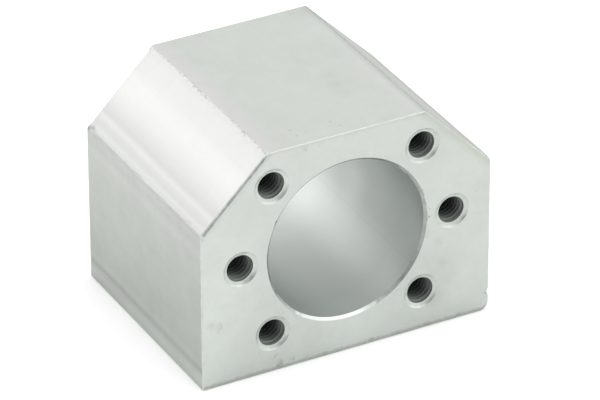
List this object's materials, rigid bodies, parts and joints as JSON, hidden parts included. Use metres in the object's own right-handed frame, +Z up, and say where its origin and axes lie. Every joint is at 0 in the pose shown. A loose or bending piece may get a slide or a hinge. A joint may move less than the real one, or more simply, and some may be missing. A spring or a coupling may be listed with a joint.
{
  "type": "ball screw nut housing",
  "caption": "Machined aluminium block with sloping shoulders, a through bore for a ball nut, and tapped holes for the nut's flange screws and for the table screws.",
  "frame": {"origin": "centre of the base face, halfway along the housing", "axes": "+X across the housing, +Y along the bore from the flange face to the back face, +Z up from the base"},
  "size_m": [0.052, 0.04, 0.04],
  "materials": {
    "anodised_aluminium": "satin"
  },
  "bodies": {
    "root": {"nut_housing": "anodised_aluminium"}
  },
  "joints": []
}
